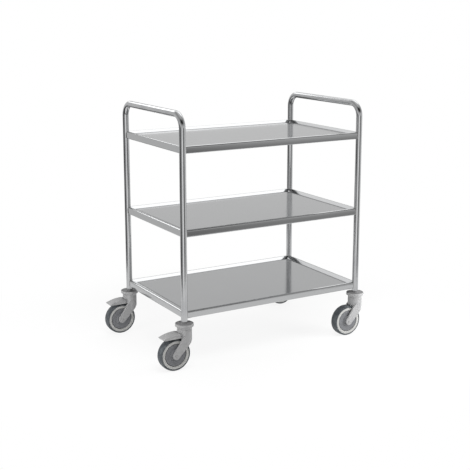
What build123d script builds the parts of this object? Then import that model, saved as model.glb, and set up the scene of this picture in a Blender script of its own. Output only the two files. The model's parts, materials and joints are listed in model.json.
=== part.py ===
from build123d import *
import math
import os

# A food service trolley: two bent tube end frames, three pressed tray shelves welded between them,
# and four swivel castors held in the post ends. Millimetres, X along the length, Y across it, Z up.

# ------------------------------------------------------------------ frame
post_spacing_x = 800.0  # between the post axes, along the trolley
post_spacing_y = 500.0  # between the post axes, across the trolley
tube_d = 25.0
tube_wall = 1.5
handle_rise = 114.5  # handle's centre line above the top shelf's rim
handle_bend_r = 52.0  # on the tube's centre line
post_tail = 9.0  # posts below the lowest shelf's edge

# ------------------------------------------------------------------ shelves
shelf_pitch = 313.0
shelf_overhang = 5.0  # edge face outside the post axes
edge_h = 27.5
sheet_t = 1.2
rim_w = 10.0  # rounded corner and flat top of the edge
slope_w = 21.0  # sloping margin between the edge and the base
tray_depth = 9.0
edge_bend_r = 6.0  # outside, along the top
lower_bend_r = 3.0  # outside, above the hem
hem_w = 11.0  # edge turned in underneath
post_gap = 0.2  # between a shelf's corner cut and the tube
shelf_names = ("bottom_shelf", "middle_shelf", "top_shelf")

# hat-section stiffeners under each base
stiffener_count = 2
stiffener_spacing = 380.0
stiffener_w = 46.0
stiffener_flange = 14.0
stiffener_h = 13.0
stiffener_end_gap = 2.0
seat_gap = 0.1  # between pieces that are glued or spot welded
past = 1.0  # how far a cutting body reaches past what it cuts

# ------------------------------------------------------------------ castors
wheel_d = 125.0
wheel_w = 36.0
castor_trail = 46.0
collar_rise = 52.0  # collar's top above the wheel's
collar_out = 7.0  # collar outside the neck
collar_h = 10.0
collar_flare_h = 12.0  # curve from the neck out to the collar
collar_edge_r = 1.5
neck_wall = 4.0
skirt_drop = 57.5  # front edge of the neck's skirt below the collar's top
leg_t = 6.5
leg_end_r = 15.0
leg_edge_r = 1.5
leg_shoulder_drop = 65.0  # where a leg's rear edge meets the neck
leg_inset = 0.4  # legs inside the neck's front face
neck_drop = 73.0  # lowest point of the neck, before its slanting cut
fork_rib_t = 2.5
fork_rib_spread = 40.0  # degrees between the ribs inside the neck
ear_drop = 61.0  # where the legs' flat faces start to run into the neck
ear_top_drop = 37.0  # where they end in it
ear_x = -7.0
pedal_slot_drop = 8.0  # bottom of the slot for the pedal's arm, below the pin
wheel_arch_gap = 5.0

# swivel
bearing_d = 47.0
bearing_wall = 5.0  # neck outside the bearing
bearing_bore = 20.0
bearing_h = 14.0
bearing_lip = 8.0  # ledge under the outer ring
lip_h = 6.0
bearing_drop = 26.0  # bearing's underside below the collar's top
shield_w = 6.0
shield_recess = 1.0
running_gap = 0.05  # radial, between turning fits
side_gap = 0.3  # between faces that turn past each other
stem_flange_d = 26.0
stem_flange_h = 4.0
stem_bolt_d = 12.0
stem_reach = 61.0  # stem inside the post
cap_t = 4.0
cap_tube_t = 4.0  # wall of the cap's inner tube
cap_fillet = 1.5
cap_rim_gap = 3.0  # collar wall outside the cap
cap_boss_lip = 0.5  # boss outside the tube
cap_boss_h = 8.0
sleeve_inset = 3.0  # expander inside the post's end
sleeve_length = 40.0
sleeve_lands = 4
sleeve_groove = 1.0  # depth and half the width of the grooves between the lands
tube_fit = 0.15  # radial, between the expander and the tube's bore
cone_h = 12.0
cone_tip_d = 17.0

# axle
axle_d = 8.0
axle_head_d = 11.0
axle_head_h = 2.0
axle_nut_flats = 13.0
axle_nut_h = 6.5
axle_past_nut = 1.2
edge_break = 1.0  # small chamfers on turned and moulded pieces
spacer_d = 12.0
fit_gap = 0.05  # radial, between still fits

# wheel
tread_t = 7.0  # rubber outside the ring
tyre_root = 2.5  # rubber keyed into the ring
tyre_shoulder_r = 4.0
tyre_crown = 0.8  # tread lower at its shoulders than in the middle
tyre_key = 4.0  # tyre's inner part narrower than the ring on each side
tread_lip = 1.0  # tread wider than the ring on each side
ring_face = 11.0  # width of the ring seen inside the tread
rim_t = 6.5  # wall between the tyre and the wheel's hollow sides
rim_flange = 6.0  # ring's deeper sides, beside the web
web_t = 6.0
hub_wall = 3.0
hub_proud = 2.0  # hub outside the ring's face
wheel_bearing_d = 28.0
wheel_bearing_w = 8.0
guard_gap = 1.5  # groove between the guard and the ring
guard_t = 1.6
guard_recess = 1.2  # guard's face below the ring's
guard_hub_wall = 3.0  # guard's raised middle outside the hub
guard_bore_gap = 1.0
guard_rim_w = 2.0  # turned-in rim
wheel_rib_count = 6
wheel_rib_t = 2.5
wheel_rib_drop = 8.0  # ribs below the ring's face

# brake pedal, on the two castors of the left end
pedal_w = 46.0
pedal_root_x = -21.0  # before it is cut back round the neck
pedal_tip_x = -98.0
pedal_root_rise = 10.0  # above the pin
pedal_tip_drop = 3.0  # below the pin
pedal_arch = 5.0  # rise of the tread plate's curve over its chord
pedal_t = 3.5
pedal_nose_h = 2.0  # blunt end of the tread plate
pedal_chin = 10.0  # length of the slanting underside behind the tip
pedal_lip = 6.0  # solid end of the tread plate
arm_h = 9.0
skirt_t = 3.0
pedal_skirt_drop = 6.5  # below the pin
pin_inset = 6.5  # pin's axis inside the neck's rear face
pin_drop = 43.0  # below the collar's top
pin_d = 5.0
pin_length = 33.0
pedal_arm_w = 19.0
pedal_boss_d = 11.0
slot_gap = 0.8
pedal_travel = 12.0  # degrees, pressed
neck_clearance = 1.5
shoe_gap = 0.4  # to the tread when the pedal is down
shoe_w = 30.0
shoe_length = 24.0
shoe_x = -51.0
spring_t = 0.8
spring_w = 12.0
spring_length = 13.0

# ------------------------------------------------------------------ worked out
tube_r = tube_d / 2
wheel_r = wheel_d / 2
axle_z = wheel_r
arch_r = wheel_r + wheel_arch_gap
ring_w = wheel_w - 2 * tread_lip
hub_w = ring_w + 2 * hub_proud
ring_out_r = wheel_r - tread_t
ring_in_r = ring_out_r - ring_face
tyre_in_r = ring_out_r - tyre_root
hub_r = wheel_bearing_d / 2 + hub_wall
leg_in = hub_w / 2 + seat_gap + guard_t + side_gap
leg_out = leg_in + leg_t
neck_r = bearing_d / 2 + bearing_wall
collar_r = neck_r + collar_out
collar_top_z = wheel_d + collar_rise
bearing_bottom_z = collar_top_z - bearing_drop
bearing_top_z = bearing_bottom_z + bearing_h
lip_z = bearing_bottom_z - lip_h
cap_bottom_z = collar_top_z - cap_t
pin_x, pin_z = pin_inset - neck_r, collar_top_z - pin_drop
post_end_z = collar_top_z + cap_boss_h
sleeve_bottom_z = post_end_z + sleeve_inset
sleeve_top_z = sleeve_bottom_z + sleeve_length
bottom_shelf_z = post_end_z + post_tail
top_rim_z = bottom_shelf_z + (len(shelf_names) - 1) * shelf_pitch + edge_h
handle_axis_z = top_rim_z + handle_rise
origin_x = (castor_trail + wheel_r - collar_r) / 2  # brings the origin under the box's centre

os.makedirs("parts", exist_ok=True)


def save(shape, name):
    export_step(shape, f"parts/{name}.step")


def turned_z(*outline):
    """A solid turned about the Z axis from points of radius and height."""
    return revolve(make_face(Polyline(*[(r, 0, z) for r, z in outline], close=True)), Axis.Z)


def turned_y(*outline):
    """A solid turned about the Y axis from points of radius and place along it."""
    return revolve(make_face(Polyline(*[(r, y, 0) for r, y in outline], close=True)), Axis.Y)


def side_plate(face, half_width):
    """A face drawn in X and Z, made a solid across Y."""
    return extrude(Plane.XZ * face, half_width, both=True)


def rod_y(radius, length, x=0.0, z=0.0):
    return Pos(x, 0, z) * Rot(90, 0, 0) * Cylinder(radius, length)


# ------------------------------------------------------------------ end frames and shelves
def end_frame(x):
    half = post_spacing_y / 2
    path = FilletPolyline(
        (x, -half, post_end_z),
        (x, -half, handle_axis_z),
        (x, half, handle_axis_z),
        (x, half, post_end_z),
        radius=handle_bend_r,
    )
    section = Plane((x, -half, post_end_z)) * (Circle(tube_r) - Circle(tube_r - tube_wall))
    return sweep(section, path=path)


def tray_block(inset, bottom, top):
    """A block inside the shelf's outline."""
    length = post_spacing_x + 2 * (shelf_overhang - inset)
    width = post_spacing_y + 2 * (shelf_overhang - inset)
    return Pos(0, 0, (bottom + top) / 2) * Box(length, width, top - bottom)


def bent_block(inset):
    """The block with its level edges rounded by the sheet's bends."""
    block = tray_block(inset, inset, edge_h - inset)
    level = block.edges().group_by(Axis.Z)
    block = fillet(level[-1], edge_bend_r - inset)
    return fillet(block.edges().group_by(Axis.Z)[0], lower_bend_r - inset)


def tray_hollow(grow, drop):
    """The tapered hollow above the base, grown sideways and dropped by the sheet's thickness."""
    length = post_spacing_x + 2 * (shelf_overhang - rim_w + grow)
    width = post_spacing_y + 2 * (shelf_overhang - rim_w + grow)
    shrink = 2 * slope_w
    top = Plane.XY.offset(edge_h) * Rectangle(length, width)
    base = Plane.XY.offset(edge_h - tray_depth - drop) * Rectangle(length - shrink, width - shrink)
    return loft([base, top])


def shelf(z):
    """A pressed tray: turned-down edge with a hem, flat rim, sloping margins and a flat base."""
    inside = bent_block(sheet_t) + tray_block(hem_w, -past, sheet_t + past)
    tray = bent_block(0) - tray_hollow(0, 0) - (inside - tray_hollow(sheet_t, sheet_t))
    notch = Cylinder(tube_r + post_gap, 3 * edge_h)
    corners = GridLocations(post_spacing_x, post_spacing_y, 2, 2)
    tray -= [place * notch for place in corners]
    return Pos(0, 0, z) * tray


def stiffeners(z):
    """Hat-section channels under a shelf's base, reaching between the sloping margins."""
    top = edge_h - tray_depth - sheet_t - seat_gap
    inner = stiffener_w / 2 - stiffener_flange
    low = top - stiffener_h
    t = sheet_t
    half = [
        (stiffener_w / 2, top),
        (stiffener_w / 2, top - t),
        (inner + t, top - t),
        (inner + t, low),
        (0, low),
    ]
    inside = [(0, low + t), (inner, low + t), (inner, top)]
    outline = half + [(-x, h) for x, h in reversed(half[:-1])]
    outline += [(-x, h) for x, h in reversed(inside[1:])] + inside[1:]
    length = post_spacing_y + 2 * (shelf_overhang - rim_w - slope_w - stiffener_end_gap)
    channel = side_plate(make_face(Polyline(*outline, close=True)), length / 2)
    places = GridLocations(stiffener_spacing, 0, stiffener_count, 1)
    return [Pos(p.position.X, 0, z) * channel for p in places]


# ------------------------------------------------------------------ castor, on its swivel axis
def fork_profile():
    """A leg seen from the side: a round end at the axle, widening up to the neck."""
    axle = Vector(-castor_trail, axle_z)

    def touch(point, side):
        away = point - axle
        angle = math.atan2(away.Y, away.X) + side * math.acos(leg_end_r / away.length)
        return axle + Vector(math.cos(angle), math.sin(angle)) * leg_end_r

    front, rear = Vector(neck_r, collar_top_z - skirt_drop), Vector(-neck_r, collar_top_z - leg_shoulder_drop)
    low, high = touch(front, -1), touch(rear, 1)
    end = axle - (front - axle).normalized() * leg_end_r
    beyond = front + (front - low).normalized() * neck_r
    sides = Polyline(high, rear, (-neck_r, collar_top_z - ear_drop), (ear_x, collar_top_z - ear_top_drop),
                     (ear_x, bearing_bottom_z), (beyond.X, bearing_bottom_z), beyond, low)
    trim = Polyline(low, beyond, (beyond.X, 0), (low.X, 0), close=True)
    return make_face([*sides.edges(), ThreePointArc(low, end, high)]), make_face(trim)


def flare_middle(flare_z):
    """A point on the hollow curve that carries the neck out to the collar."""
    out, up = collar_out, collar_flare_h
    hollow = math.hypot(out, up) / 6
    lean = math.atan2(up, out)
    return (neck_r + out / 2 + hollow * -math.sin(lean), 0, flare_z - up / 2 + hollow * math.cos(lean))


def fork(braked):
    """The moulded fork: flared collar, hollow neck, two legs and the arch over the wheel."""
    above, neck_low_z = collar_top_z + past, collar_top_z - neck_drop
    leg_face, trim_face = fork_profile()
    flare_z = collar_top_z - collar_h
    side = Polyline((0, 0, neck_low_z), (neck_r, 0, neck_low_z), (neck_r, 0, flare_z - collar_flare_h))
    flare = ThreePointArc(side @ 1, flare_middle(flare_z), (collar_r, 0, flare_z))
    rim = Polyline(flare @ 1, (collar_r, 0, collar_top_z), (0, 0, collar_top_z), (0, 0, neck_low_z))
    neck = Rot(0, 0, 75) * revolve(make_face([*side.edges(), flare, *rim.edges()]), Axis.Z)
    neck = fillet(neck.edges().filter_by(GeomType.CIRCLE).group_by(Axis.Z)[-1], collar_edge_r)
    neck -= side_plate(trim_face, 2 * neck_r)
    footprint = Circle(neck_r - leg_inset) + Pos(-2 * neck_r, 0) * Rectangle(4 * neck_r, 2 * leg_out)
    legs = side_plate(leg_face, leg_out)
    outline = [edge for edge in legs.edges() if abs(edge.center().Y) > leg_in]
    legs = fillet(outline, leg_edge_r) & extrude(footprint, collar_top_z)
    body = neck + legs
    body -= rod_y(arch_r, 2 * leg_in, -castor_trail, axle_z)
    bearing_r = bearing_d / 2 + fit_gap
    body -= turned_z(
        (0, 0), (neck_r - neck_wall, 0), (neck_r - neck_wall, lip_z),
        (bearing_r - bearing_lip, lip_z), (bearing_r - bearing_lip, bearing_bottom_z),
        (bearing_r, bearing_bottom_z), (bearing_r, cap_bottom_z - side_gap),
        (collar_r - cap_rim_gap, cap_bottom_z - side_gap), (collar_r - cap_rim_gap, above), (0, above),
    )
    body += fork_ribs()
    body -= rod_y(axle_d / 2 + fit_gap, 4 * leg_out, -castor_trail, axle_z)
    if braked:
        slot_low = pin_z - pedal_slot_drop
        slot_h = lip_z - slot_low - slot_gap
        slot = Box(4 * neck_wall, pedal_arm_w + 2 * slot_gap, slot_h)
        body -= Pos(-neck_r, 0, slot_low + slot_h / 2) * slot
        body -= rod_y(pin_d / 2 + fit_gap, pin_length, pin_x, pin_z)
    return body


def fork_ribs():
    """Ribs inside the neck's front, from the skirt up into the bearing's ledge."""
    outer = neck_r - neck_wall / 2
    inner = stem_flange_d / 2 + 2 * side_gap
    low = collar_top_z - skirt_drop + fork_rib_t
    rib = Pos(inner, 0, low) * Box(outer - inner, fork_rib_t, lip_z + past - low, align=(
        Align.MIN, Align.CENTER, Align.MIN))
    return [Rot(0, 0, turn * fork_rib_spread) * rib for turn in (-1, 0, 1)]


def swivel_bearing():
    """A shielded ball bearing: both faces are recessed between the rings."""
    outer, inner = bearing_d / 2, bearing_bore / 2 + running_gap
    shield_out, shield_in = (outer + inner + shield_w) / 2, (outer + inner - shield_w) / 2
    top, low = bearing_top_z, bearing_bottom_z
    return turned_z(
        (inner, low), (shield_in, low), (shield_in, low + shield_recess), (shield_out, low + shield_recess),
        (shield_out, low), (outer, low), (outer, top), (shield_out, top), (shield_out, top - shield_recess),
        (shield_in, top - shield_recess), (shield_in, top), (inner, top),
    )


def castor_stem():
    """The turned stem: retaining flange under the bearing, journal through it, bolt up the tube."""
    journal, bolt = bearing_bore / 2, stem_bolt_d / 2
    flange_top, end = bearing_bottom_z - side_gap, post_end_z + stem_reach
    return turned_z(
        (0, flange_top - stem_flange_h), (stem_flange_d / 2, flange_top - stem_flange_h),
        (stem_flange_d / 2, flange_top), (journal, flange_top), (journal, post_end_z),
        (bolt, post_end_z), (bolt, end - edge_break), (bolt - edge_break, end), (0, end),
    )


def stem_cap():
    """The dark cap on the collar: a disc in the rim, and a boss that the post stands on."""
    bore = bearing_bore / 2 + fit_gap
    disc = collar_r - cap_rim_gap - side_gap
    boss = tube_r + cap_boss_lip
    return turned_z(
        (bore, bearing_top_z + side_gap), (bore + cap_tube_t, bearing_top_z + side_gap),
        (bore + cap_tube_t, cap_bottom_z), (disc, cap_bottom_z),
        (disc, collar_top_z - edge_break), (disc - edge_break, collar_top_z),
        (boss + cap_fillet, collar_top_z), (boss, collar_top_z + cap_fillet),
        (boss, post_end_z - seat_gap), (bore, post_end_z - seat_gap),
    )


def stem_expander():
    """The sleeve that grips the tube's bore, split by grooves round it."""
    outer = tube_r - tube_wall - tube_fit
    bore = stem_bolt_d / 2 + fit_gap
    root, groove = outer - sleeve_groove, sleeve_groove
    outline = [(bore, sleeve_bottom_z), (outer, sleeve_bottom_z)]
    for step in range(1, sleeve_lands):
        z = sleeve_bottom_z + step * (sleeve_top_z - sleeve_bottom_z) / sleeve_lands
        outline += [(outer, z - groove), (root, z - groove), (root, z + groove), (outer, z + groove)]
    outline += [(outer, sleeve_top_z), (bore, sleeve_top_z)]
    return turned_z(*outline)


def expander_cone():
    bore = stem_bolt_d / 2 + fit_gap
    outer = tube_r - tube_wall - tube_fit
    low = sleeve_top_z + seat_gap
    return turned_z((bore, low), (cone_tip_d / 2, low), (outer, low + cone_h / 2),
                    (outer, low + cone_h), (bore, low + cone_h))


def axle_bolt():
    head_face = -leg_out
    radius = axle_d / 2
    end = leg_out + seat_gap + axle_nut_h + axle_past_nut
    return turned_y(
        (0, head_face - axle_head_h), (axle_head_d / 4, head_face - axle_head_h),
        (axle_head_d / 2 - edge_break, head_face - axle_head_h / 2), (axle_head_d / 2, head_face - seat_gap),
        (radius, head_face - seat_gap), (radius, end - edge_break), (radius - edge_break, end), (0, end),
    )


def axle_nut():
    hexagon = RegularPolygon(axle_nut_flats / 2, 6, major_radius=False) - Circle(axle_d / 2 + fit_gap)
    return Pos(0, leg_out + seat_gap, 0) * Rot(-90, 0, 0) * extrude(hexagon, axle_nut_h)


def axle_spacer():
    half = leg_in - seat_gap
    return turned_y((axle_d / 2 + fit_gap, -half), (spacer_d / 2, -half), (spacer_d / 2, half),
                    (axle_d / 2 + fit_gap, half))


def both_sides(outline):
    """The outline followed by its mirror image, for a ring that is alike on both sides."""
    return outline + [(r, -y) for r, y in reversed(outline)]


def both_ends(shape):
    return [shape, mirror(shape, Plane.XZ)]


def wheel_bearings():
    inner, outer = spacer_d / 2 + running_gap, wheel_bearing_d / 2 - fit_gap
    end = hub_w / 2
    deep = end - wheel_bearing_w
    return both_ends(turned_y((inner, deep), (outer, deep), (outer, end), (inner, end)))


def tyre():
    """A tread band on the core, keyed into it by its narrower inner part."""
    half, key = wheel_w / 2, ring_w / 2 - tyre_key
    lip = ring_out_r + fit_gap
    return turned_y(*both_sides([
        (tyre_in_r, -key), (lip, -key), (lip, edge_break - half), (wheel_r - tyre_shoulder_r, -half),
        (wheel_r - tyre_crown, tyre_shoulder_r - half), (wheel_r, -half / 3),
    ]))


def wheel_core():
    """Hub, web and the pale ring seen inside the tread, with ribs on both sides of the web."""
    hub, half_hub = hub_r, hub_w / 2
    seat, clear = wheel_bearing_d / 2, spacer_d / 2 + running_gap + past
    deep = half_hub - wheel_bearing_w - seat_gap
    ring_in, ring_out, half_ring = ring_in_r, ring_out_r, ring_w / 2
    floor, flange = tyre_in_r - rim_t, half_ring - rim_flange
    key, key_half = tyre_in_r - fit_gap, half_ring - tyre_key
    core = turned_y(*both_sides([
        (clear, deep), (seat, deep), (seat, half_hub), (hub, half_hub), (hub, web_t / 2), (floor, web_t / 2),
        (floor, flange), (ring_in, flange), (ring_in, half_ring - edge_break),
        (ring_in + edge_break, half_ring), (ring_out - edge_break, half_ring),
        (ring_out, half_ring - edge_break), (ring_out, key_half), (key, key_half),
    ]))
    reach = floor - hub + 2 * past
    rib = Pos((hub + floor) / 2, 0, 0) * Box(reach, 2 * (half_ring - wheel_rib_drop), wheel_rib_t)
    return core + [Rot(0, turn * 360 / wheel_rib_count, 0) * rib for turn in range(wheel_rib_count)]


def thread_guards():
    """Dished discs that close the wheel's sides and cover the hub's ends."""
    edge, hub = ring_in_r - guard_gap, hub_r + guard_hub_wall
    rise = hub_w / 2 + seat_gap
    face = ring_w / 2 - guard_recess
    back, rim = face - guard_t, face - guard_t - guard_rim_w
    bore = spacer_d / 2 + guard_bore_gap
    guard = turned_y(
        (bore, rise), (hub - edge_break, rise), (hub + guard_t, back), (edge - guard_rim_w, back),
        (edge - guard_rim_w, rim), (edge, rim), (edge, face - edge_break), (edge - edge_break, face),
        (hub + 2 * guard_t, face), (hub, rise + guard_t), (bore, rise + guard_t),
    )
    return both_ends(guard)


# ------------------------------------------------------------------ brake
def pedal_curve(drop):
    """The arched line of the tread plate, seen from the side, from its tip to its root."""
    tip = Vector(pedal_tip_x, pin_z - pedal_tip_drop)
    root = Vector(pedal_root_x, pin_z + pedal_root_rise)
    crown = (tip + root) / 2 + Vector(tip.Y - root.Y, root.X - tip.X).normalized() * pedal_arch
    return ThreePointArc(*[(point.X, point.Y - drop) for point in (tip, crown, root)])


def pedal_top(x):
    """Height of the pedal's upper face at x."""
    curve = pedal_curve(0)
    centre, radius = curve.arc_center, curve.radius
    return centre.Y + math.sqrt(radius ** 2 - (x - centre.X) ** 2)


def brake_pedal():
    """The moulded tread plate, arched and skirted, and the arm that turns on the pin in the neck."""
    top, under = pedal_curve(0), pedal_curve(pedal_t)
    low = pin_z - pedal_skirt_drop
    sides = Polyline(top @ 1, (pedal_root_x, low), (pedal_tip_x + pedal_chin, low),
                     (top @ 0) - Vector(0, pedal_nose_h), top @ 0)
    body = side_plate(make_face([top, *sides.edges()]), pedal_w / 2)
    hollow = Polyline(under @ 1, (pedal_root_x, 0), (pedal_tip_x, 0), under @ 0)
    hollow = side_plate(make_face([under, *hollow.edges()]), pedal_w / 2 - skirt_t)
    body -= hollow - Pos(pedal_tip_x, 0, 0) * Box(2 * pedal_lip, 2 * pedal_w, 4 * collar_top_z)
    reach = neck_r + neck_clearance
    body -= Cylinder(reach, 2 * collar_top_z)
    beside_leg = Box(reach, pedal_w, 2 * collar_top_z, align=(Align.MIN, Align.MIN, Align.CENTER))
    between_legs = leg_in - 2 * side_gap
    body -= Pos(-reach, between_legs, 0) * beside_leg
    body -= Pos(-reach, -between_legs - pedal_w, 0) * beside_leg
    arm_x = -reach - pedal_t
    arm_top = pedal_top(arm_x) - edge_break / 2
    arm = Polyline((pin_x, pin_z + pedal_boss_d / 2), (arm_x, arm_top), (arm_x, arm_top - arm_h),
                   (pin_x, pin_z - pedal_boss_d / 2), close=True)
    body += rod_y(pedal_boss_d / 2, pedal_arm_w, pin_x, pin_z) + side_plate(make_face(arm), pedal_arm_w / 2)
    return body - rod_y(pin_d / 2 + running_gap, 2 * pedal_w, pin_x, pin_z)


def pedal_axis():
    return Axis((pin_x, 0, pin_z), (0, -1, 0))


def brake_shoe():
    """The block under the pedal, hollowed to meet the tread when the pedal is down."""
    tread = rod_y(wheel_r + shoe_gap, pedal_w, -castor_trail, axle_z)
    seat = pedal_curve(pedal_t + seat_gap)
    legs = Polyline(seat @ 1, (pedal_root_x, axle_z + wheel_r), (pedal_tip_x, axle_z + wheel_r), seat @ 0)
    under = side_plate(make_face([seat, *legs.edges()]), shoe_w / 2)
    block = under & Pos(shoe_x, 0, 0) * Box(shoe_length, shoe_w, 4 * collar_top_z)
    return block - tread.rotate(pedal_axis(), -pedal_travel)


def pedal_pin():
    return rod_y(pin_d / 2, pin_length - 2 * seat_gap, pin_x, pin_z)


def brake_spring():
    """A bent leaf, held under the bearing's ledge, that bears on the pedal's boss and holds it up."""
    top, rest = lip_z - seat_gap, pin_z + pedal_boss_d / 2 + side_gap
    tail, bend = pin_x + spring_length, pin_x + spring_length / 3
    leaf = Polyline((tail, top), (bend, top), (pin_x, rest + spring_t), (pin_x, rest), (bend, top - spring_t),
                    (tail, top - spring_t), close=True)
    return side_plate(make_face(leaf), spring_w / 2)


# ------------------------------------------------------------------ the trolley
def place(x, y, shapes):
    shapes = shapes if isinstance(shapes, list) else [shapes]
    return [Pos(x + origin_x, y, 0) * shape for shape in shapes]


def on_axle(shapes):
    shapes = shapes if isinstance(shapes, list) else [shapes]
    return [Pos(-castor_trail, 0, axle_z) * shape for shape in shapes]


half_x, half_y = post_spacing_x / 2, post_spacing_y / 2
castors = {
    "front_left": (-half_x, -half_y, True),
    "rear_left": (-half_x, half_y, True),
    "front_right": (half_x, -half_y, False),
    "rear_right": (half_x, half_y, False),
}

save(Compound(place(0, 0, end_frame(-half_x))), "left_end_frame")
save(Compound(place(0, 0, end_frame(half_x))), "right_end_frame")
for level, name in enumerate(shelf_names):
    z = bottom_shelf_z + level * shelf_pitch
    save(Compound(place(0, 0, shelf(z))), name)
    save(Compound(place(0, 0, stiffeners(z))), f"{name}_stiffeners")

for name, make in {
    "castor_stems": castor_stem,
    "stem_caps": stem_cap,
    "stem_expanders": stem_expander,
    "expander_cones": expander_cone,
}.items():
    solid = make()
    save(Compound([one for x, y, _ in castors.values() for one in place(x, y, solid)]), name)

fork_plain, fork_braked = fork(False), fork(True)
swivel_part = {"swivel_bearing": swivel_bearing()}
axle_parts = {
    "axle_bolt": axle_bolt(),
    "axle_nut": axle_nut(),
    "axle_spacer": axle_spacer(),
    "tyre": tyre(),
    "wheel_core": wheel_core(),
    "wheel_bearings": wheel_bearings(),
    "thread_guards": thread_guards(),
}
brake_parts = {
    "brake_pedal": brake_pedal(),
    "brake_shoe": brake_shoe(),
    "pedal_pin": pedal_pin(),
    "brake_spring": brake_spring(),
}
for corner, (x, y, braked) in castors.items():
    save(Compound(place(x, y, fork_braked if braked else fork_plain)), f"{corner}_fork")
    for name, solid in (swivel_part | (brake_parts if braked else {})).items():
        save(Compound(place(x, y, solid)), f"{corner}_{name}")
    for name, solids in axle_parts.items():
        save(Compound(place(x, y, on_axle(solids))), f"{corner}_{name}")
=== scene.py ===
import bpy
import json
import math
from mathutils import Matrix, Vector


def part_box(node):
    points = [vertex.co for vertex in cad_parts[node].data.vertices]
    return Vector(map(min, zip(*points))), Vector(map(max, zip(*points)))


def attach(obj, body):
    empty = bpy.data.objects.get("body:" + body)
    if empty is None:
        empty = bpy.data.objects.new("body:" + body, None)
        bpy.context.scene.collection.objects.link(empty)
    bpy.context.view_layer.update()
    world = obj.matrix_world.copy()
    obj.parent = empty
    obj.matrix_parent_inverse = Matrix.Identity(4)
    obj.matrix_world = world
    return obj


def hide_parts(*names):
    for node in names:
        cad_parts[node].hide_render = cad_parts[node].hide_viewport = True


# Looks for a stainless food service trolley on four plastic swivel castors. Metres, Z up.

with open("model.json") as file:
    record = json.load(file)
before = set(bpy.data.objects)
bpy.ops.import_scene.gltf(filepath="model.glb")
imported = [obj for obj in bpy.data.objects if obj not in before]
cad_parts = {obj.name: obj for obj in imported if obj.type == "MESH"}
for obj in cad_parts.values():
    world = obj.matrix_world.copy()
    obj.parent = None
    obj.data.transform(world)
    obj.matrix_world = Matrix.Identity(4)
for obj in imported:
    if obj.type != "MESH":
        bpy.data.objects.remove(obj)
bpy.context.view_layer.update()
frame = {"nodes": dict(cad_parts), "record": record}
nodes = frame["nodes"]

shelves = ("bottom_shelf", "middle_shelf", "top_shelf")


def tone(red, green, blue):
    """A linear colour from display (sRGB) values of 0 to 255."""
    return tuple(((shade / 255 + 0.055) / 1.055) ** 2.4 for shade in (red, green, blue)) + (1.0,)


# ---------------------------------------------------------------- shader and geometry trees
class Value:
    """A socket in a tree. Sums and products of values add the Math nodes that they need."""

    def __init__(self, tree, socket):
        self.tree, self.socket = tree, socket

    def __add__(self, other):
        return self.tree.math("ADD", self, other)

    def __sub__(self, other):
        return self.tree.math("SUBTRACT", self, other)

    def __rsub__(self, other):
        return self.tree.math("SUBTRACT", other, self)

    def __mul__(self, other):
        return self.tree.math("MULTIPLY", self, other)

    def __truediv__(self, other):
        return self.tree.math("DIVIDE", self, other)

    __radd__ = __add__

    def sine(self):
        return self.tree.math("SINE", self)

    def size(self):
        return self.tree.math("ABSOLUTE", self)

    def ramp(self, low, high):
        """0 below low, 1 above high, smooth between; low may be the larger."""
        made = self.tree.node("ShaderNodeMapRange", {"interpolation_type": "SMOOTHSTEP"}, {
            "Value": self, "From Min": low, "From Max": high})
        return made["Result"]


class Node:
    """A node whose outputs are read by name as values."""

    def __init__(self, tree, node):
        self.tree, self.node = tree, node

    def __getitem__(self, name):
        return Value(self.tree, self.node.outputs[name])


class Tree:
    """A node tree under construction."""

    def __init__(self, node_tree):
        self.node_tree = node_tree

    def node(self, kind, settings=None, inputs=None):
        made = self.node_tree.nodes.new(kind)
        for name, setting in (settings or {}).items():
            setattr(made, name, setting)
        for name, given in (inputs or {}).items():
            self.give(made.inputs[name], given)
        return Node(self, made)

    def give(self, socket, given):
        if isinstance(given, Value):
            self.node_tree.links.new(given.socket, socket)
        else:
            socket.default_value = given

    def math(self, operation, first, second=0.0):
        return self.node("ShaderNodeMath", {"operation": operation}, {0: first, 1: second})["Value"]

    def mix(self, share, first, second):
        """A blend of two colours."""
        made = self.node("ShaderNodeMix", {"data_type": "RGBA"}, {0: share, 6: first, 7: second})
        return Value(self, made.node.outputs[2])

    def vector(self, operation, first, second=(0, 0, 0)):
        return self.node("ShaderNodeVectorMath", {"operation": operation}, {0: first, 1: second})

    def split(self, vector):
        parts = self.node("ShaderNodeSeparateXYZ", None, {0: vector})
        return parts["X"], parts["Y"], parts["Z"]

    def noise(self, vector, stretch, detail=3.0):
        """Noise with this many grains in a metre along each axis."""
        scaled = self.vector("MULTIPLY", vector, stretch)["Vector"]
        made = self.node("ShaderNodeTexNoise", None, {"Vector": scaled, "Scale": 1.0, "Detail": detail})
        return made["Fac"]


class Finish(Tree):
    """A material whose Principled shader takes its varying sockets from patterns in Object coordinates."""

    def __init__(self, name, **same_all_over):
        self.material = bpy.data.materials.new(name)
        self.material.use_nodes = True
        super().__init__(self.material.node_tree)
        self.shader = self.node_tree.nodes["Principled BSDF"]
        for socket, given in same_all_over.items():
            self.shader.inputs[socket.replace("_", " ")].default_value = given
        self.place = self.node("ShaderNodeTexCoord")["Object"]

    def varies(self, socket, given):
        self.give(self.shader.inputs[socket], given)

    def relief(self, height, depth, edge_round=0.0):
        """Bump of this depth in metres, on edges that look rounded by edge_round."""
        inputs = {"Height": height, "Distance": depth, "Strength": 1.0}
        if edge_round:
            inputs["Normal"] = self.node("ShaderNodeBevel", {"samples": 4}, {"Radius": edge_round})["Normal"]
        self.varies("Normal", self.node("ShaderNodeBump", None, inputs)["Normal"])


sharp_angle = math.radians(40)


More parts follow.
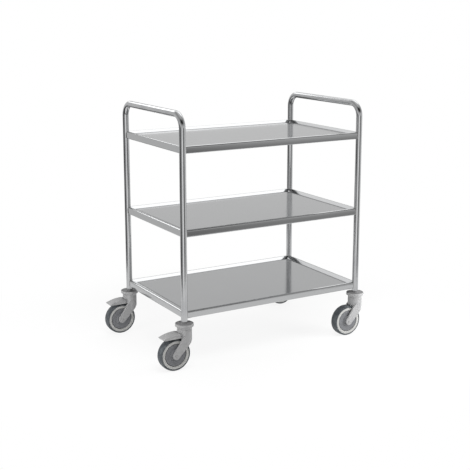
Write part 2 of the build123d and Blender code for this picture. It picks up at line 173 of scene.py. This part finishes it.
class Shaper(Tree):
    """A Geometry Nodes tree with named inputs for its sizes, made into a plain mesh piece."""

    def __init__(self, name, **sizes):
        super().__init__(bpy.data.node_groups.new(name, "GeometryNodeTree"))
        face = self.node_tree.interface
        face.new_socket("Geometry", in_out="INPUT", socket_type="NodeSocketGeometry")
        for size, given in sizes.items():
            kind = "NodeSocketInt" if isinstance(given, int) else "NodeSocketFloat"
            face.new_socket(size, in_out="INPUT", socket_type=kind).default_value = given
        face.new_socket("Geometry", in_out="OUTPUT", socket_type="NodeSocketGeometry")
        self.given = self.node("NodeGroupInput")

    def __getitem__(self, name):
        return self.given[name]

    def ends_in(self, geometry, material):
        smooth = self.node("GeometryNodeSetShadeSmooth", None, {"Geometry": geometry})["Geometry"]
        real = self.node("GeometryNodeRealizeInstances", None, {"Geometry": smooth})["Geometry"]
        painted = self.node("GeometryNodeSetMaterial", None, {"Geometry": real, "Material": material})
        self.node("NodeGroupOutput", None, {"Geometry": painted["Geometry"]})
        return self

    def piece(self, name, points, edges, wall=0.0):
        """Runs the tree on a wire of points and edges, and keeps the result as a mesh object."""
        wire = bpy.data.meshes.new(name)
        wire.from_pydata(points, edges, [])
        made = bpy.data.objects.new(name, wire)
        bpy.context.scene.collection.objects.link(made)
        shape = made.modifiers.new("shape", "NODES")
        shape.node_group = self.node_tree
        if wall:
            shell = made.modifiers.new("wall", "SOLIDIFY")
            shell.thickness = wall
            shell.offset = -1.0  # inwards
        bpy.context.view_layer.update()
        seen = made.evaluated_get(bpy.context.evaluated_depsgraph_get())
        plain = bpy.data.meshes.new_from_object(seen)
        plain.set_sharp_from_angle(angle=sharp_angle)
        made.modifiers.clear()
        made.data = plain
        return made


# ---------------------------------------------------------------- finishes
rim_width = 0.010  # bend and flat top of a shelf's edge
rim_bend = 0.006
slope_width = 0.021
tray_depth = 0.009
fold_shade = (0.0048, 0.0012)  # from the crease at the slope's foot: the painted shade ends, the painted shade is full
edge_middle = 0.0135  # above the edge's lowest line
edge_bow = 3.4  # how strongly an edge's face seems to bow out, per metre
edge_face = (0.002, 0.0008)  # in from the edge's face: the bow ends, the bow is full
sheet_grain = 0.00004
bar_heights = (0.915, 0.955)  # where the tube's grain turns from the posts to the handle bar


def polished_tube():
    """Ground and polished stainless tube: fine lines along it, and a faint haze from hands."""
    look = Finish("polished_tube", Metallic=1.0)
    height = look.split(look.place)[2]
    along_post = look.noise(look.place, (1400, 1400, 9))
    along_bar = look.noise(look.place, (1400, 9, 1400))
    lines = along_post + (along_bar - along_post) * height.ramp(*bar_heights)
    haze = look.noise(look.place, (11, 11, 7), 5.0).ramp(0.42, 0.72)
    look.varies("Base Color", look.mix(haze, tone(206, 207, 208), tone(192, 193, 195)))
    look.varies("Roughness", 0.13 + lines * 0.05 + haze * 0.05)
    look.relief(lines, 0.00003)
    return look.material


def satin_sheet():
    """Pressed stainless sheet: a long brushed grain, rub marks, folds made duller and painted dark as shade,
    and slightly bowed edges.
    """
    look = Finish("satin_sheet", Metallic=1.0)
    x, y, z = look.split(look.place)
    grain = look.noise(look.place, (5, 1500, 1500), 4.0)
    rubs = look.noise(look.place, (3, 26, 26), 5.0).ramp(0.5, 0.74)
    cloud = look.noise(look.place, (3.5, 3.5, 3.5), 2.0)
    low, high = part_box("bottom_shelf")
    middle, half = (low + high) / 2, (high - low) / 2
    inward = look.math("MINIMUM", half.x - (x - middle.x).size(), half.y - (y - middle.y).size())
    # painted shade: a dark band along the crease at the foot of each slope, where the slope meets the tray's
    # base
    painted_fold_shade = (inward - rim_width - slope_width).size().ramp(*fold_shade)
    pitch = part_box("middle_shelf")[0].z - low.z
    up_edge = look.math("FLOORED_MODULO", z - low.z, pitch) - edge_middle
    bow = up_edge * up_edge * inward.ramp(*edge_face) * (edge_bow / sheet_grain)
    shade = look.mix(cloud * 0.6 + grain * 0.3, tone(194, 195, 196), tone(202, 203, 204))
    # the base colour is darkened towards a dark grey along the crease, as painted shade
    look.varies("Base Color", look.mix(painted_fold_shade * 0.8, shade, tone(104, 105, 107)))
    look.varies("Roughness", 0.08 + grain * 0.05 + rubs * 0.025 + painted_fold_shade * 0.2)
    look.relief(grain - bow, sheet_grain, 0.0006)
    return look.material


def mill_channel():
    """Unpolished stainless of the channels under the shelves, cloudy, with rolling marks along them."""
    look = Finish("mill_channel", Metallic=1.0)
    rolled = look.noise(look.place, (700, 12, 700), 4.0)
    cloud = look.noise(look.place, (40, 40, 40), 4.0)
    look.varies("Base Color", look.mix(cloud, tone(170, 172, 173), tone(188, 189, 190)))
    look.varies("Roughness", 0.36 + rolled * 0.1)
    look.relief(rolled, 0.00005, 0.0005)
    return look.material


def weld_seam():
    """Brushed weld metal, slightly straw coloured in patches."""
    look = Finish("weld_seam", Metallic=1.0)
    heat = look.noise(look.place, (160, 160, 160), 3.0).ramp(0.45, 0.7)
    look.varies("Base Color", look.mix(heat, tone(196, 196, 196), tone(178, 172, 162)))
    look.varies("Roughness", 0.28 + heat * 0.14)
    look.relief(heat, 0.00005)
    return look.material


def moulded(name, low, high, roughness, scuffs=0.0):
    """Moulded plastic: two close shades in clouds, a fine spark-eroded grain and rubbed patches."""
    look = Finish(name)
    cloud = look.noise(look.place, (38, 38, 38), 4.0)
    speck = look.noise(look.place, (1900, 1900, 1900), 2.0)
    rubbed = look.noise(look.place, (90, 90, 34), 5.0).ramp(0.6, 0.72)
    colour = look.mix(cloud * 0.7 + speck * 0.3, low, high)
    if scuffs:
        colour = look.mix(rubbed * scuffs, colour, tone(214, 214, 212))
    look.varies("Base Color", colour)
    look.varies("Roughness", roughness + speck * 0.1 - rubbed * 0.08)
    look.relief(speck, 0.00004, 0.0012)
    return look.material


def tread_rubber():
    """Blue-grey non-marking rubber with dusty patches and a fine grain."""
    look = Finish("tread_rubber")
    dust = look.noise(look.place, (60, 60, 60), 6.0)
    speck = look.noise(look.place, (1500, 1500, 1500), 3.0)
    look.varies("Base Color", look.mix(dust.ramp(0.35, 0.75), tone(64, 68, 72), tone(86, 90, 93)))
    look.varies("Roughness", 0.56 + dust * 0.2)
    look.relief(speck + dust, 0.00009, 0.001)
    return look.material


def turned_steel(name, low, high, roughness, painted=False):
    """Plated, ground or painted steel of bolts, nuts, pins and bearings, with fine turning marks."""
    look = Finish(name, Metallic=0.0 if painted else 1.0)
    marks = look.noise(look.place, (420, 2600, 420), 3.0)
    cloud = look.noise(look.place, (120, 120, 120), 3.0)
    look.varies("Base Color", look.mix(cloud, low, high))
    look.varies("Roughness", roughness + marks * 0.12)
    look.relief(marks, 0.00003, 0.0005)
    return look.material


finishes = {
    "tube_stainless": polished_tube(),
    "shelf_stainless": satin_sheet(),
    "channel_stainless": mill_channel(),
    "zinc_steel": turned_steel("zinc_plate", tone(176, 178, 182), tone(190, 192, 194), 0.3),
    "bearing_steel": turned_steel("ground_steel", tone(150, 151, 153), tone(172, 173, 175), 0.24),
    "fork_plastic": moulded("fork_plastic", tone(146, 146, 147), tone(156, 156, 156), 0.42, scuffs=0.12),
    "dark_plastic": moulded("cap_plastic", tone(112, 112, 113), tone(124, 124, 125), 0.45),
    "expander_rubber": moulded("expander_rubber", tone(34, 34, 35), tone(46, 46, 47), 0.62),
    "tread_rubber": tread_rubber(),
    "painted_bolt": turned_steel(
        "painted_bolt", tone(140, 140, 141), tone(152, 152, 152), 0.4, painted=True),
    "core_plastic": moulded("core_plastic", tone(164, 164, 162), tone(175, 175, 173), 0.4),
    "guard_plastic": moulded("guard_plastic", tone(100, 101, 104), tone(112, 113, 116), 0.44),
    "weld_seam": weld_seam(),
}
for part in frame["record"]["subparts"]:
    mesh = nodes[part["node"]].data
    mesh.materials.clear()
    mesh.materials.append(finishes[part["material_slot"]])

# ---------------------------------------------------------------- end frames
bend_radius = 0.052  # on the tube's axis
tube_wall = 0.0015
low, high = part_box("left_end_frame")
tube_radius = (high.x - low.x) / 2


def sweep_shaper():
    """A tube of round section along a wire whose corners are bent to a radius."""
    shaper = Shaper("bent_tube", Bend_Radius=bend_radius, Tube_Radius=tube_radius, Bend_Steps=24, Sides=64)
    path = shaper.node("GeometryNodeMeshToCurve", None, {"Mesh": shaper["Geometry"]})["Curve"]
    bent = shaper.node("GeometryNodeFilletCurve", {"mode": "POLY"}, {
        "Curve": path, "Count": shaper["Bend_Steps"], "Radius": shaper["Bend_Radius"]})["Curve"]
    section = shaper.node("GeometryNodeCurvePrimitiveCircle", {"mode": "RADIUS"}, {
        "Resolution": shaper["Sides"], "Radius": shaper["Tube_Radius"]})["Curve"]
    tube = shaper.node("GeometryNodeCurveToMesh", None, {"Curve": bent, "Profile Curve": section})["Mesh"]
    return shaper.ends_in(tube, finishes["tube_stainless"])


def end_tube(shaper, side):
    """Two posts and the handle between them in one tube. Returns its rear post."""
    low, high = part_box(f"{side}_end_frame")
    x, top = (low.x + high.x) / 2, high.z - tube_radius
    front, back = low.y + tube_radius, high.y - tube_radius
    points = [(x, front, low.z), (x, front, top), (x, back, top), (x, back, low.z)]
    tube = shaper.piece(f"{side}_bent_tube", points, [(0, 1), (1, 2), (2, 3)], tube_wall)
    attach(tube, "frame")
    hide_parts(f"{side}_end_frame")
    return Vector((x, back))


bent_tube = sweep_shaper()
left_post, right_post = (end_tube(bent_tube, side) for side in ("left", "right"))

# ---------------------------------------------------------------- welds
seam_inset = 0.003  # ends of a bead above the edge's lowest line
seam_reach = 0.0002  # a bead's axis outside the tube
seam_sink = 0.0003  # a bead's axis below the shelf's surface
seam_steps = 12


def rim_drop(inward):
    """How far a shelf's surface lies below the top of its rim, at this distance in from its edge."""
    beyond = min(max(0.0, rim_bend - inward), rim_bend)
    down_slope = max(0.0, inward - rim_width) * tray_depth / slope_width
    return rim_bend - math.sqrt(rim_bend ** 2 - beyond ** 2) + down_slope


def seam_path(shelf, side_x, side_y):
    """The line where a shelf's corner meets its post: up one edge, round over the rim, down the other."""
    low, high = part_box(shelf)
    post = left_post if side_x < 0 else right_post
    reach = tube_radius + seam_reach
    overhang = high.x - right_post.x
    start = math.atan2(-overhang, math.sqrt(reach ** 2 - overhang ** 2))
    turn = math.pi / 2 - 2 * start
    points = [(start, low.z + seam_inset)]
    for step in range(seam_steps + 1):
        angle = start + turn * step / seam_steps
        inward = min(reach * math.cos(angle), reach * math.sin(angle)) + overhang
        points.append((angle, high.z - rim_drop(inward) - seam_sink))
    points.append((start + turn, low.z + seam_inset))
    return [(post.x - side_x * reach * math.cos(angle), side_y * (post.y - reach * math.sin(angle)), height)
            for angle, height in points]


def seam_shaper():
    """A rippled bead along each wire."""
    shaper = Shaper(
        "weld_bead", Bead_Radius=0.0011, Ripple_Pitch=0.0016, Ripple_Share=0.12, Step=0.0004, Sides=8)
    path = shaper.node("GeometryNodeMeshToCurve", None, {"Mesh": shaper["Geometry"]})["Curve"]
    even = shaper.node("GeometryNodeResampleCurve", {"mode": "LENGTH"}, {
        "Curve": path, "Length": shaper["Step"]})["Curve"]
    section = shaper.node("GeometryNodeCurvePrimitiveCircle", {"mode": "RADIUS"}, {
        "Resolution": shaper["Sides"], "Radius": shaper["Bead_Radius"]})["Curve"]
    along = shaper.node("GeometryNodeSplineParameter")["Length"]
    ripple = (along * math.tau / shaper["Ripple_Pitch"]).sine() * shaper["Ripple_Share"] + 1.0
    bead = shaper.node("GeometryNodeCurveToMesh", None, {
        "Curve": even, "Profile Curve": section, "Scale": ripple, "Fill Caps": True})["Mesh"]
    return shaper.ends_in(bead, finishes["weld_seam"])


seam_points, seam_edges = [], []
for shelf in shelves:
    for side_x, side_y in ((-1, -1), (-1, 1), (1, -1), (1, 1)):
        path = seam_path(shelf, side_x, side_y)
        first = len(seam_points)
        seam_edges += [(first + step, first + step + 1) for step in range(len(path) - 1)]
        seam_points += path
seams = seam_shaper().piece("post_weld_seams", seam_points, seam_edges)
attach(seams, "frame")

spot_pitch = 0.055
channel_half = 0.023
flange_middle = 0.016  # from the channel's middle
sheet_thickness = 0.0012


def spot_shaper():
    """A shallow pressed dome on each point."""
    shaper = Shaper("spot_weld", Spot_Radius=0.0028, Spot_Height=0.00035)
    ball = shaper.node("GeometryNodeMeshUVSphere", None, {
        "Segments": 10, "Rings": 6, "Radius": shaper["Spot_Radius"]})["Mesh"]
    flat = shaper.node("ShaderNodeCombineXYZ", None, {
        "X": 1.0, "Y": 1.0, "Z": shaper["Spot_Height"] / shaper["Spot_Radius"]})["Vector"]
    spots = shaper.node("GeometryNodeInstanceOnPoints", None, {
        "Points": shaper["Geometry"], "Instance": ball, "Scale": flat})["Instances"]
    return shaper.ends_in(spots, finishes["channel_stainless"])


spots = []
for shelf in shelves:
    low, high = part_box(f"{shelf}_stiffeners")
    flange_z = high.z - sheet_thickness
    rows = int((high.y - low.y) / spot_pitch)
    for channel in (low.x + channel_half, high.x - channel_half):
        for x in (channel - flange_middle, channel + flange_middle):
            spots += [(x, (row - rows / 2 + 0.5) * spot_pitch, flange_z) for row in range(rows)]
spot_welds = spot_shaper().piece("channel_spot_welds", spots, [])
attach(spot_welds, "frame")

# ---------------------------------------------------------------- studio
brightest = 4.0  # the highest level that the room may have


def studio_world():
    """White to the camera. The metal sees a grey room with dark screens, and white cloths above it.

    Bearings are in degrees from +X towards +Y, and heights are the Z of a direction of length 1.
    """
    world = bpy.data.worlds.new("studio")
    world.use_nodes = True
    room = Tree(world.node_tree)
    way = room.node("ShaderNodeTexCoord")["Generated"]
    height = room.split(way)[2]
    level_way = room.vector("NORMALIZE", room.vector("MULTIPLY", way, (1, 1, 0))["Vector"])["Vector"]

    def around(bearing, wide, narrow):
        """1 within narrow degrees of a bearing, 0 beyond wide."""
        turn = math.radians(bearing)
        along = room.vector("DOT_PRODUCT", level_way, (math.cos(turn), math.sin(turn), 0))["Value"]
        return along.ramp(math.cos(math.radians(wide)), math.cos(math.radians(narrow)))

    # walls: a bright doorway on the camera's side and a pale wall on the right
    walls = 0.64 + around(240, 27, 8) * 0.46 + around(15, 60, 30) * 0.22
    # dark screens: on the left, on both sides of the doorway, and behind the right end
    for bearing, wide, narrow, depth in (
            (157, 36, 14, 0.9), (203, 30, 8, 0.45), (278, 27, 10, 0.62), (57, 20, 10, 0.75)):
        walls = walls * (1.0 - around(bearing, wide, narrow) * depth)
    # a screen in front that gets darker downwards, and dark ground further down
    walls = walls * (1.0 - around(304, 26, 8) * (0.12 + height.ramp(0.0, -0.26) * 0.38))
    walls = walls * (1.0 - height.ramp(-0.33, -0.45) * 0.85)
    # ceiling: grey, a little darker higher up, dark on the camera's side, pale overhead
    ceiling = 0.656 - height.ramp(0.14, 0.34) * 0.054
    ceiling = ceiling - height.ramp(0.2, 0.42) * 0.2 * (1.0 - around(55, 62, 45))
    dark = around(255, 62, 40) * height.ramp(0.34, 0.5) * height.ramp(0.86, 0.76)
    ceiling = ceiling * (1.0 - dark * 0.94)
    ceiling = ceiling + height.ramp(0.84, 0.95) * 0.2
    # cloths: a wide one behind the trolley, thinner towards the right slopes, and a small one for the bars
    wide_cloth = around(48, 52, 28) * height.ramp(0.4, 0.62) * height.ramp(0.94, 0.86) * 1.2
    wide_cloth = wide_cloth * (1.0 - around(73, 16, 7) * height.ramp(0.46, 0.58) * 0.62)
    small_cloth = around(96, 20, 11) * height.ramp(0.32, 0.46) * height.ramp(0.56, 0.5) * 2.1
    above = ceiling + wide_cloth + small_cloth
    level = walls + (above - walls) * height.ramp(-0.02, 0.12)

    rays = room.node("ShaderNodeLightPath")
    shade = room.mix(level / brightest, (0, 0, 0, 1), (brightest, brightest, brightest, 1))
    colour = room.mix(rays["Is Camera Ray"], shade, (1, 1, 1, 1))
    room.give(room.node_tree.nodes["Background"].inputs["Color"], colour)
    bpy.context.scene.world = world


floor_radius = 1.4
floor_sides = 64
floor_fade = (0.6, 1.2)  # distances over which the floor turns into the white behind
floor_glow = 0.86  # share of plain white in what the camera sees near the trolley


def floor():
    """A pale floor that keeps a soft shadow and fades into the white behind."""
    mesh = bpy.data.meshes.new("floor")
    turns = [side * math.tau / floor_sides for side in range(floor_sides)]
    ring = [(floor_radius * math.cos(turn), floor_radius * math.sin(turn), 0.0) for turn in turns]
    mesh.from_pydata(ring, [], [tuple(range(floor_sides))])
    sheet = bpy.data.objects.new("floor", mesh)
    bpy.context.scene.collection.objects.link(sheet)
    material = bpy.data.materials.new("floor")
    material.use_nodes = True
    tree = Tree(material.node_tree)
    principled = tree.node_tree.nodes["Principled BSDF"]
    principled.inputs["Base Color"].default_value = (0.93, 0.93, 0.93, 1)
    principled.inputs["Roughness"].default_value = 0.9
    principled.inputs["Specular IOR Level"].default_value = 0.1
    rays = tree.node("ShaderNodeLightPath")
    place = tree.node("ShaderNodeTexCoord")["Object"]
    far = tree.vector("LENGTH", place)["Value"].ramp(*floor_fade)
    shade = tree.mix(rays["Is Glossy Ray"], (1, 1, 1, 1), (0.8, 0.8, 0.8, 1))
    glow = tree.node("ShaderNodeEmission", None, {"Color": shade, "Strength": 1.0})["Emission"]
    seen = rays["Is Camera Ray"] * (floor_glow + far * (1 - floor_glow)) + rays["Is Glossy Ray"]
    both = tree.node("ShaderNodeMixShader", None, {0: seen, 1: Value(tree, principled.outputs[0]), 2: glow})
    tree.give(tree.node_tree.nodes["Material Output"].inputs["Surface"], both["Shader"])
    mesh.materials.append(material)


def lamp(name, at, toward, size, watts):
    """A round lamp that the metal doesn't mirror."""
    light = bpy.data.lights.new(name, "AREA")
    light.shape = "DISK"
    light.size = size
    light.energy = watts
    holder = bpy.data.objects.new(name, light)
    bpy.context.scene.collection.objects.link(holder)
    holder.location = at
    holder.rotation_euler = (Vector(toward) - Vector(at)).to_track_quat("-Z", "Y").to_euler()
    holder.visible_glossy = False
    holder.visible_camera = False


studio_world()
floor()
lamp("right_lamp", (0.85, -0.68, 0.32), (0.39, -0.27, 0.1), size=0.4, watts=5.2)
lamp("left_lamp", (-2.0, -0.1, 0.35), (-0.4, 0.0, 0.12), size=0.9, watts=19)
lamp("top_lamp", (-0.4, -1.2, 2.4), (0.0, 0.0, 0.3), size=1.4, watts=34)

# ---------------------------------------------------------------- camera
yaw, pitch = math.radians(30.319), math.radians(11.575)
camera_data = bpy.data.cameras.new("camera")
camera_data.sensor_width = 36.0
camera_data.lens = 74.26723
camera_data.shift_y = -0.07
camera_data.clip_end = 50.0
camera = bpy.data.objects.new("camera", camera_data)
bpy.context.scene.collection.objects.link(camera)
camera.location = (-1.9583, -3.3546, 1.3554)
camera.rotation_euler = (math.pi / 2 - pitch, 0.0, -yaw)
bpy.context.scene.camera = camera
bpy.context.scene.view_settings.view_transform = "Standard"
